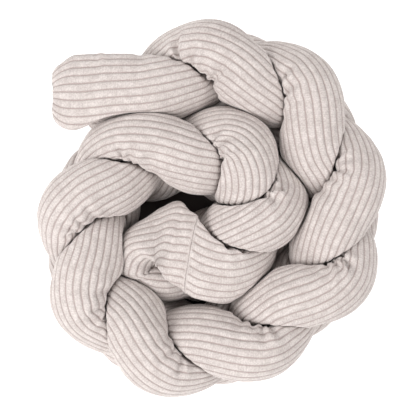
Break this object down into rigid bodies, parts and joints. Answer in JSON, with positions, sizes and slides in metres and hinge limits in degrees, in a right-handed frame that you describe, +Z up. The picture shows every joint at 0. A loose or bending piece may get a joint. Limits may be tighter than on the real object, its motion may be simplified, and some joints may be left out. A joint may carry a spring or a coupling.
{
  "type": "braided crib bumper",
  "caption": "Crib bumper plaited from stuffed corduroy tubes, coiled up and standing on its edge. It is a soft guard laid along the inside of a cot.",
  "frame": {"origin": "on the floor, under the middle of the coil", "axes": "+Z up, with the braid standing on its edge. The outer free end of the coil points to -X, at +Y."},
  "size_m": [0.5003, 0.5348, 0.1653],
  "materials": {
    "corduroy": "pale greige velvet corduroy with wide wales"
  },
  "bodies": {
    "root": {"strand_seamed": "corduroy", "strand_folded": "corduroy", "strand_single": "corduroy"}
  },
  "joints": []
}
